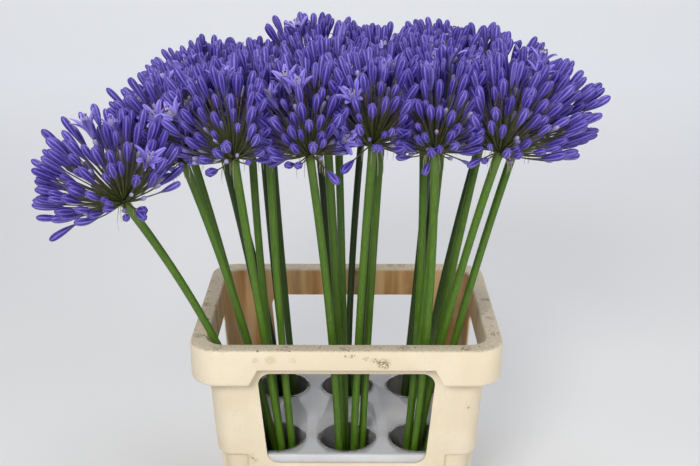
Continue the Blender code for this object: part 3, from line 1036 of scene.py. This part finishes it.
# %% Floret forms
BUD_SIDES = 12
BUD_SHARES = np.array((0.0, 0.06, 0.16, 0.30, 0.46, 0.62, 0.76, 0.88, 0.96, 1.0))
BUD_WIDTHS = np.array((0.22, 0.32, 0.46, 0.68, 0.88, 0.98, 1.0, 0.86, 0.56, 0.16))
PEDICEL_SIDES = 5
PEDICEL_RINGS = 9
PEDICEL_RADII = (0.00105, 0.00080)
PEDICEL_KNOB = 0.00115
TEPALS = 6
TEPAL_STEPS = 9
TEPAL_ACROSS = 5
TEPAL_LENGTH = 0.036
TEPAL_WIDTH = 0.0046
THROAT = 0.0016
STAMEN_LENGTH = 0.030
STAMEN_RADIUS = 0.00035
BUD_RIB_DEPTH = 0.05


def along_path(path, share):
    """The point at a share of a path's steps."""
    places = np.linspace(0, 1, len(path))
    return np.array([np.interp(share, places, path[:, axis]) for axis in range(3)]).T


def add_bud(parts, path, radius, tone, chance):
    turn = chance.uniform(0, math.tau)
    points, _, rib = tube(path, BUD_WIDTHS * radius, BUD_SIDES, TEPALS, BUD_RIB_DEPTH, turn)
    along = np.repeat(BUD_SHARES, BUD_SIDES)
    parts.add(points, tube_faces(len(BUD_SHARES), BUD_SIDES), along=along, rib=rib, tone=tone)


def tepal_line(length, throat, flare):
    """Distance out and distance up along one tepal that bends back."""
    shares = np.linspace(0, 1, TEPAL_STEPS)
    lean = 0.16 + flare * shares ** 1.2
    step = length / (TEPAL_STEPS - 1)
    out = throat + np.concatenate(([0], np.cumsum(np.sin(lean[:-1]) * step)))
    up = np.concatenate(([0], np.cumsum(np.cos(lean[:-1]) * step)))
    return shares, out, up, lean


def square_to(direction):
    """Two directions square to a direction and to each other."""
    helper = (0.12, 0.33, 0.94) if abs(direction[2]) < 0.9 else (1.0, 0.1, 0.0)
    side = unit(np.cross(direction, helper))
    return side, np.cross(direction, side)


def add_flower(parts, base, direction, flare, tone, chance):
    """Six tepals round a direction, from a closed cone to a wide star."""
    side, other = square_to(direction)
    start = chance.uniform(0, math.tau)
    for number in range(TEPALS):
        turn = start + number * math.tau / TEPALS + chance.normal(0, 0.05)
        outward = side * math.cos(turn) + other * math.sin(turn)
        sideways = np.cross(direction, outward)
        inner = number % 2
        own_flare = flare * chance.uniform(0.85, 1.15)
        length, throat = TEPAL_LENGTH * (1 - 0.03 * inner), THROAT + 0.0004 * inner
        shares, out, up, lean = tepal_line(length, throat, own_flare)
        outline = np.sin(np.pi * (0.10 + 0.84 * shares ** 1.25)) ** 0.7
        half = TEPAL_WIDTH * (0.86 + 0.22 * inner) * outline
        across = np.linspace(-1, 1, TEPAL_ACROSS)
        rise = np.sin(lean)[:, None] * direction - np.cos(lean)[:, None] * outward
        spine = base + out[:, None] * outward + up[:, None] * direction
        wave = 0.0005 * np.sin(9 * shares + number)[:, None] * across
        cupping = (across ** 2)[None, :] * half[:, None] * 0.35 + wave
        points = spine[:, None] + half[:, None, None] * across[None, :, None] * sideways
        points = points + rise[:, None] * cupping[:, :, None]
        faces = [
            (row * TEPAL_ACROSS + col, row * TEPAL_ACROSS + col + 1,
             (row + 1) * TEPAL_ACROSS + col + 1, (row + 1) * TEPAL_ACROSS + col)
            for row in range(TEPAL_STEPS - 1) for col in range(TEPAL_ACROSS - 1)
        ]
        parts.add(
            points.reshape(-1, 3), faces, along=np.repeat(shares, TEPAL_ACROSS),
            rib=np.tile(across, TEPAL_STEPS), tone=tone,
        )


def add_stamens(parts, base, direction, chance):
    """A pale thread with a dark tip for each tepal."""
    side, other = square_to(direction)
    for number in range(TEPALS):
        turn = number * math.tau / TEPALS + chance.normal(0, 0.2)
        lean = side * math.cos(turn) + other * math.sin(turn)
        shares = np.linspace(0, 1, 5)[:, None]
        path = base + direction * STAMEN_LENGTH * shares + lean * (0.0010 + 0.0035 * shares ** 2)
        points = tube(path, np.full(5, STAMEN_RADIUS), 4)[0]
        parts.add(points, tube_faces(5, 4), pale=0.8)
        anther = path[-1] + direction * np.linspace(-0.0012, 0.0012, 4)[:, None]
        points = tube(anther, np.array((0.0003, 0.0009, 0.0009, 0.0003)), 5)[0]
        parts.add(points, tube_faces(4, 5), shade=1.0)


print("bud faces:", len(tube_faces(len(BUD_SHARES), BUD_SIDES)))

# %% [markdown]
# ## Violet-blue, olive and lilac
#
# The buds are deep violet-blue and duller at the narrow base, with a painted
# highlight on each ridge and painted shade in the grooves. The pedicels are dark
# olive with a purple flush towards the bud. The tepals are lilac with a darker
# middle line. Each form stores where its points lie along it and across it, and
# the finishes turn those numbers into colour.

# %% Floret finishes
def bud_skin():
    finish = Finish("bud_skin", Subsurface_Weight=0.06, Specular_IOR_Level=0.38)
    finish.shader.inputs["Subsurface Radius"].default_value = (0.002, 0.001, 0.004)
    place = finish.place()
    along, rib, tone = (finish.mesh_value(name) for name in ("along", "rib", "tone"))
    veins = finish.noise(place, 420, detail=2)
    groove_shade_colour = finish.mix(tone, (0.030, 0.015, 0.20), (0.095, 0.060, 0.40))
    pale = finish.mix(tone, (0.17, 0.12, 0.60), (0.40, 0.34, 0.86))
    # Painted highlight on each ridge and painted shade in each groove of the bud.
    colour = finish.mix(finish.step(rib, -0.2, 1.0) * 0.9, groove_shade_colour, pale)
    colour = finish.stain(colour, veins, 0.45, 0.75, 0.3, (0.19, 0.13, 0.50))
    colour = finish.stain(colour, along, 0.30, 0.0, 0.75, (0.10, 0.08, 0.15))
    colour = finish.stain(colour, along, 0.90, 1.0, 0.35, (0.06, 0.04, 0.17))
    young = finish.step(tone, 0.80, 0.95)
    colour = finish.mix(young * 0.8, colour, finish.mix(along, (0.17, 0.18, 0.12), (0.42, 0.38, 0.58)))
    return finish.use(
        Base_Color=colour, Roughness=0.38 + 0.2 * veins, Normal=finish.bump(veins, 0.2, 0.0005)
    )


def tepal_skin():
    finish = Finish("tepal_skin", Subsurface_Weight=0.12, Specular_IOR_Level=0.3)
    finish.shader.inputs["Subsurface Radius"].default_value = (0.003, 0.002, 0.006)
    place = finish.place()
    along, across, tone = (finish.mesh_value(name) for name in ("along", "rib", "tone"))
    veins = finish.noise(place, 500, detail=2)
    colour = finish.mix(tone, (0.20, 0.15, 0.62), (0.33, 0.27, 0.76))
    colour = finish.stain(colour, across.size(), 0.42, 0.10, 0.75, (0.10, 0.065, 0.42))
    colour = finish.stain(colour, along, 0.30, 0.0, 0.6, (0.16, 0.12, 0.40))
    colour = finish.stain(colour, veins, 0.5, 0.7, 0.25, (0.40, 0.34, 0.80))
    return finish.use(Base_Color=colour, Roughness=0.48 + 0.15 * veins)


def pedicel_skin():
    finish = Finish("pedicel_skin", Subsurface_Weight=0.05, Specular_IOR_Level=0.45)
    place = finish.place()
    along, pale, shade = (finish.mesh_value(name) for name in ("along", "pale", "shade"))
    patches = finish.noise(place, 120, detail=2)
    colour = finish.mix(finish.step(patches, 0.3, 0.7), (0.055, 0.080, 0.016), (0.095, 0.125, 0.030))
    colour = finish.stain(colour, along, 0.35, 1.0, 0.7, (0.075, 0.045, 0.090))
    colour = finish.stain(colour, along, 0.15, 0.0, 0.6, (0.13, 0.19, 0.04))
    colour = finish.mix(pale, colour, (0.62, 0.56, 0.42))
    colour = finish.mix(shade, colour, (0.035, 0.020, 0.075))
    return finish.use(Base_Color=colour, Roughness=0.45 + 0.15 * patches)


bud_material, tepal_material, pedicel_material = bud_skin(), tepal_skin(), pedicel_skin()
print("floret finishes:", bud_material.name, tepal_material.name, pedicel_material.name)

# %% [markdown]
# ## Putting the heads together
#
# Every head gets up to three meshes: the thin green parts, the buds, and the
# open flowers. A floret's path runs from the seat to the tip; the pedicel takes its
# first part and the bud the rest, so the two always meet. A few flowers in the
# crate are already open. Six heads get one that points forwards, in a direction
# listed below, and the others open by chance among the long florets.

# %% Heads
PATH_STEPS = 33
SQUEEZED = 0.75
MATURE_SHARE = 0.58
HALF_GROWN_SHARE = 0.82
THREADS = 9
DOME_HEIGHT = 0.0095
DOME_RADIUS = 0.0072
FACING_FLARE = 1.15
FLARES = (0.15, 0.4, 0.9, 1.15)
OPEN_FLOWERS = 2
OPEN_HEADS = {"02": 3, "03": 3, "10": 3, "19": 3}
# The way that one open flower points, on each of six heads.
FACING_FLOWERS = {
    "04": (0.45, -0.55, 0.70), "02": (-0.55, -0.50, 0.65), "01": (-0.30, -0.60, 0.72),
    "07": (0.50, -0.75, 0.40), "10": (0.75, -0.60, 0.30), "08": (-0.35, -0.60, 0.72),
}


def choose_stage(length, full, chance):
    """Bud length, radius, tone and reach: mature, half grown or young."""
    lot = chance.random()
    squeezed = length < SQUEEZED * full
    if lot < MATURE_SHARE and not squeezed:
        lengths, radii, tones, reach = (0.030, 0.039), (0.0045, 0.0055), (0.0, 0.70), length
    elif lot < HALF_GROWN_SHARE:
        lengths, radii, tones, reach = (0.021, 0.028), (0.0035, 0.0043), (0.2, 0.7), length * 0.93
    else:
        lengths, radii, tones = (0.012, 0.017), (0.0023, 0.0030), (0.85, 1.0)
        reach = length * chance.uniform(0.60, 0.80)
    return chance.uniform(*lengths), chance.uniform(*radii), chance.uniform(*tones), reach


def add_threads(parts, stem, chance):
    """Dry, pale remains of the sheath that once held the head."""
    for _ in range(THREADS):
        turn = chance.uniform(0, math.tau)
        side = unit(np.cross(stem.axis, (math.cos(turn), math.sin(turn), 0.1)))
        length = chance.uniform(0.016, 0.034)
        shares = np.linspace(0, 1, 7)[:, None]
        path = stem.seat + side * (0.004 + length * 0.45 * np.sin(shares * 1.9))
        path = path + stem.axis * 0.004 * (1 - shares) - np.array((0, 0, 1.0)) * length * shares ** 1.5
        points = tube(path, 0.0006 - 0.0004 * shares[:, 0], 4)[0]
        parts.add(points, tube_faces(7, 4), pale=chance.uniform(0.5, 1.0), along=0.5)


def add_receptacle(parts, stem):
    """The small green dome where all pedicels start."""
    shares = np.linspace(0, 1, 6)
    path = stem.seat + stem.axis * (DOME_HEIGHT * shares - 0.001)[:, None]
    radii = DOME_RADIUS * np.sqrt(np.clip(1 - (shares * 0.98) ** 2, 0, 1))
    points = tube(path, radii, 14)[0]
    parts.add(points, tube_faces(6, 14), along=0.02, pale=0.05)


def facing_floret(florets, target):
    """The number of the long floret that points most nearly at a target."""
    if target is None:
        return -1
    nearness = [
        direction @ np.array(target) - 2 * (length < 0.9 * full)
        for direction, length, _, full in florets
    ]
    return int(np.argmax(nearness))


def build_head(stem, number):
    chance = np.random.default_rng(number)
    greens = Parts("along", "pale", "shade")
    buds, flowers = Parts("along", "rib", "tone"), Parts("along", "rib", "tone")
    add_receptacle(greens, stem)
    add_threads(greens, stem, chance)
    still_open = OPEN_HEADS.get(stem.name, OPEN_FLOWERS)
    florets = head_florets(stem, np.random.default_rng(number))
    facing = facing_floret(florets, FACING_FLOWERS.get(stem.name))
    for floret, (direction, length, bend, full) in enumerate(florets):
        bud_length, radius, tone, reach = choose_stage(length, full, chance)
        opening = still_open > 0 and length > 0.93 * full and direction[2] > -0.1
        opening = opening and direction[1] < 0.2 and chance.random() < 0.16
        opening = opening or floret == facing
        if opening:
            bud_length, reach = TEPAL_LENGTH, length
        path = floret_path(stem, direction, reach, bend, PATH_STEPS)
        neck = 1 - bud_length / np.linalg.norm(np.diff(path, axis=0), axis=1).sum()
        stalk = along_path(path, np.linspace(0.02, neck + 0.01, PEDICEL_RINGS))
        thick = np.linspace(*PEDICEL_RADII, PEDICEL_RINGS)
        thick[-1] = PEDICEL_KNOB
        points, along = tube(stalk, thick, PEDICEL_SIDES)[:2]
        greens.add(points, tube_faces(PEDICEL_RINGS, PEDICEL_SIDES), along=along)
        if opening:
            still_open -= 1
            base = along_path(path, neck)
            heading = unit(path[-1] - path[-6])
            flare = FACING_FLARE if floret == facing else chance.choice(FLARES)
            add_flower(flowers, base, heading, flare, chance.uniform(0.4, 1.0), chance)
            add_stamens(greens, base, heading, chance)
        else:
            add_bud(buds, along_path(path, neck + (1 - neck) * BUD_SHARES), radius, tone, chance)
    pieces = [(greens, "pedicels", pedicel_material), (buds, "buds", bud_material)]
    if flowers.count:
        pieces.append((flowers, "flowers", tepal_material))
    triangles = 0
    for parts, word, material in pieces:
        piece = parts.make(f"umbel_{stem.name}_{word}", material)
        settle(piece, f"umbel_{stem.name}")
        triangles += count_triangles(piece)
    return triangles


head_triangles = [build_head(stem, number) for number, stem in enumerate(STEMS)]
print("head triangles:", sum(head_triangles), "largest:", max(head_triangles))

# %% [markdown]
# ## Floor, backdrop and light
#
# The crate stands on a pale floor that curves up far behind it, so that no line
# crosses the picture and the crate can be seen from the back as well. The lamps
# hardly reach the far part, so it glows a little by itself, and its paper is
# painted paler higher up and farther back as painted light. The light of the
# photograph is soft and comes from the camera's side and above, so the front of
# the crate is bright and even, while the stems under the canopy are dark, partly
# from painted shade on the stems. A wide lamp in front does this, with weaker
# ones from the side and from above, and a pale world fills the shadows.

# %% Stage and lamps
SWEEP_FRONT = -9.0
SWEEP_BACK = 3.4
SWEEP_RADIUS = 0.9
SWEEP_HEIGHT = 3.2
SWEEP_HALF = 9.0


def build_sweep():
    turns = np.linspace(0, math.pi / 2, 17)
    line = [(SWEEP_FRONT, 0.0)]
    line += [
        (SWEEP_BACK + SWEEP_RADIUS * math.sin(turn), SWEEP_RADIUS - SWEEP_RADIUS * math.cos(turn))
        for turn in turns
    ]
    line.append((SWEEP_BACK + SWEEP_RADIUS, SWEEP_HEIGHT))
    points = [(x, y, z) for y, z in line for x in (-SWEEP_HALF, SWEEP_HALF)]
    faces = [(2 * n, 2 * n + 1, 2 * n + 3, 2 * n + 2) for n in range(len(line) - 1)]
    finish = Finish("backdrop_paper", Specular_IOR_Level=0.1, Emission_Strength=1.0)
    place = finish.place()
    y, z = finish.parts(place)[1:]
    paper = finish.noise(place, 3, detail=2)
    colour = finish.mix(paper, (0.72, 0.72, 0.715), (0.75, 0.75, 0.745))
    # Painted light: the paper is painted paler higher up and farther back.
    colour = finish.mix(finish.step(z + y * 0.35, -0.1, 1.1), colour, (0.93, 0.935, 0.95))
    glow = finish.mix(finish.step(z + y * 0.35, 0.15, 1.2), (0.0, 0.0, 0.0), (0.19, 0.195, 0.205))
    material = finish.use(Base_Color=colour, Emission_Color=glow, Roughness=0.85 + 0.1 * paper)
    mesh_object("sweep", points, faces, material)


def add_lamp(name, place, target, size, power, colour=(1.0, 1.0, 1.0)):
    data = bpy.data.lights.new(name, "AREA")
    data.shape = "DISK"
    data.size = size
    data.energy = power
    data.color = colour
    lamp = bpy.data.objects.new(name, data)
    lamp.location = place
    lamp.rotation_euler = (Vector(target) - Vector(place)).to_track_quat("-Z", "Y").to_euler()
    bpy.context.scene.collection.objects.link(lamp)


build_sweep()
add_lamp("key", (-0.6, -2.3, 1.9), (0.0, 0.0, 0.40), 0.9, 46, (1.0, 0.985, 0.96))
add_lamp("fill", (1.6, -1.7, 1.0), (0.0, 0.0, 0.40), 1.6, 13)
add_lamp("top", (0.2, 0.6, 2.4), (0.0, 0.0, 0.5), 1.4, 20, (0.97, 0.98, 1.0))

world = bpy.data.worlds.new("studio")
world.use_nodes = True
world.node_tree.nodes["Background"].inputs["Color"].default_value = (0.93, 0.95, 1.0, 1.0)
world.node_tree.nodes["Background"].inputs["Strength"].default_value = 0.42
bpy.context.scene.world = world
bpy.context.scene.view_settings.view_transform = "Standard"

# %% [markdown]
# ## Sizes
#
# The dressed model must still be the size of the frame.
